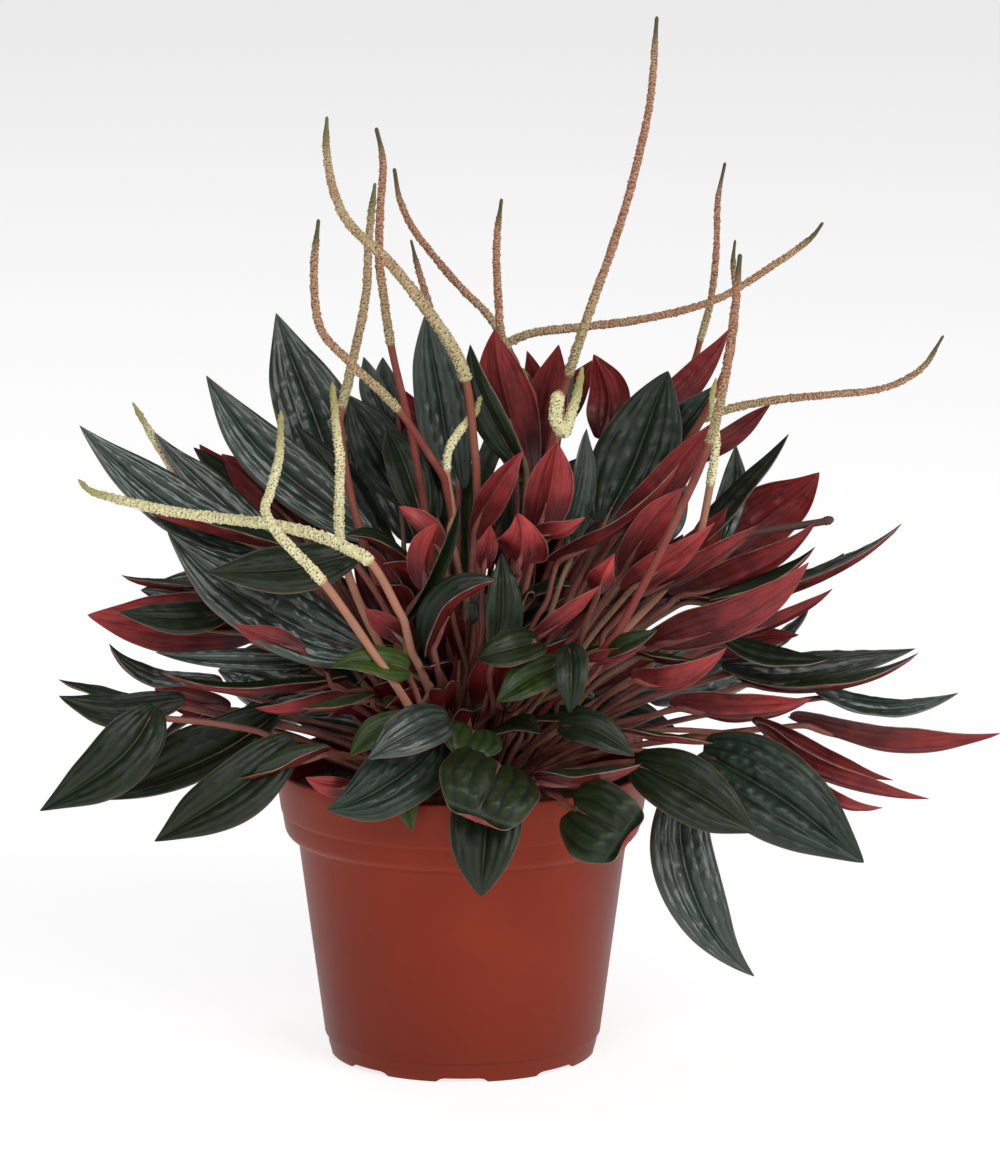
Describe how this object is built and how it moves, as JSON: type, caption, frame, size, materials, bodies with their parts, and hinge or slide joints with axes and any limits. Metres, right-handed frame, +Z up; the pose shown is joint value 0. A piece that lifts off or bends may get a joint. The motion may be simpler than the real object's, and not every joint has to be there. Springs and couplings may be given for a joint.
{
  "type": "potted peperomia",
  "caption": "House plant with ridged dark green leaves, red underneath, on pink stalks, and long bumpy flower spikes, growing in a round terracotta-coloured plastic nursery pot.",
  "frame": {"origin": "centre of the pot's base pad, on the surface the pot stands on", "axes": "+Z up along the pot's axis; +X to the right and +Y away, seen from the front of the plant as pictured"},
  "size_m": [0.3052, 0.2122, 0.3321],
  "materials": {
    "pot_plastic": "satin",
    "potting_soil": "matte",
    "crown_stem": "matte",
    "leaf": "satin",
    "flower_spike": "matte"
  },
  "bodies": {
    "root": {"pot": "pot_plastic", "potting_soil": "potting_soil", "crown": "crown_stem", "leaf_left_peak": "leaf", "leaf_left_high": "leaf", "leaf_left_high_red": "leaf", "leaf_left_long": "leaf", "leaf_left_broad": "leaf", "leaf_left_pale_edge": "leaf", "leaf_left_red": "leaf", "leaf_left_narrow": "leaf", "leaf_left_far": "leaf", "leaf_left_drooping": "leaf", "leaf_left_dark": "leaf", "leaf_left_low": "leaf", "leaf_front_small": "leaf", "leaf_front_puckered": "leaf", "leaf_front_heart": "leaf", "leaf_front_hanging": "leaf", "leaf_front_right_heart": "leaf", "leaf_front_right": "leaf", "leaf_front_bright": "leaf", "leaf_right_broad": "leaf", "leaf_right_hanging": "leaf", "leaf_right_far": "leaf", "leaf_right_twisted": "leaf", "leaf_right_red_boat": "leaf", "leaf_right_level": "leaf", "leaf_right_long": "leaf", "leaf_right_red_middle": "leaf", "leaf_right_red_high": "leaf", "leaf_right_red_peak": "leaf", "leaf_top_tall": "leaf", "leaf_top_red": "leaf", "leaf_top_red_bent": "leaf", "leaf_top_broad": "leaf", "leaf_middle_red": "leaf", "leaf_middle_green": "leaf", "leaf_back_left": "leaf", "leaf_back_left_low": "leaf", "leaf_back_tall": "leaf", "leaf_back_middle": "leaf", "leaf_back_low": "leaf", "leaf_back_right": "leaf", "leaf_back_right_low": "leaf", "spike_tallest": "flower_spike", "spike_left_bent": "flower_spike", "spike_left_straight": "flower_spike", "spike_left_behind": "flower_spike", "spike_left_outer": "flower_spike", "spike_slanting": "flower_spike", "spike_middle": "flower_spike", "spike_right_level": "flower_spike", "spike_right_back": "flower_spike", "spike_right_upright": "flower_spike", "spike_right_low": "flower_spike", "spike_left_level": "flower_spike", "spike_left_crossing": "flower_spike", "spike_left_short": "flower_spike", "spike_left_small": "flower_spike"}
  },
  "joints": []
}
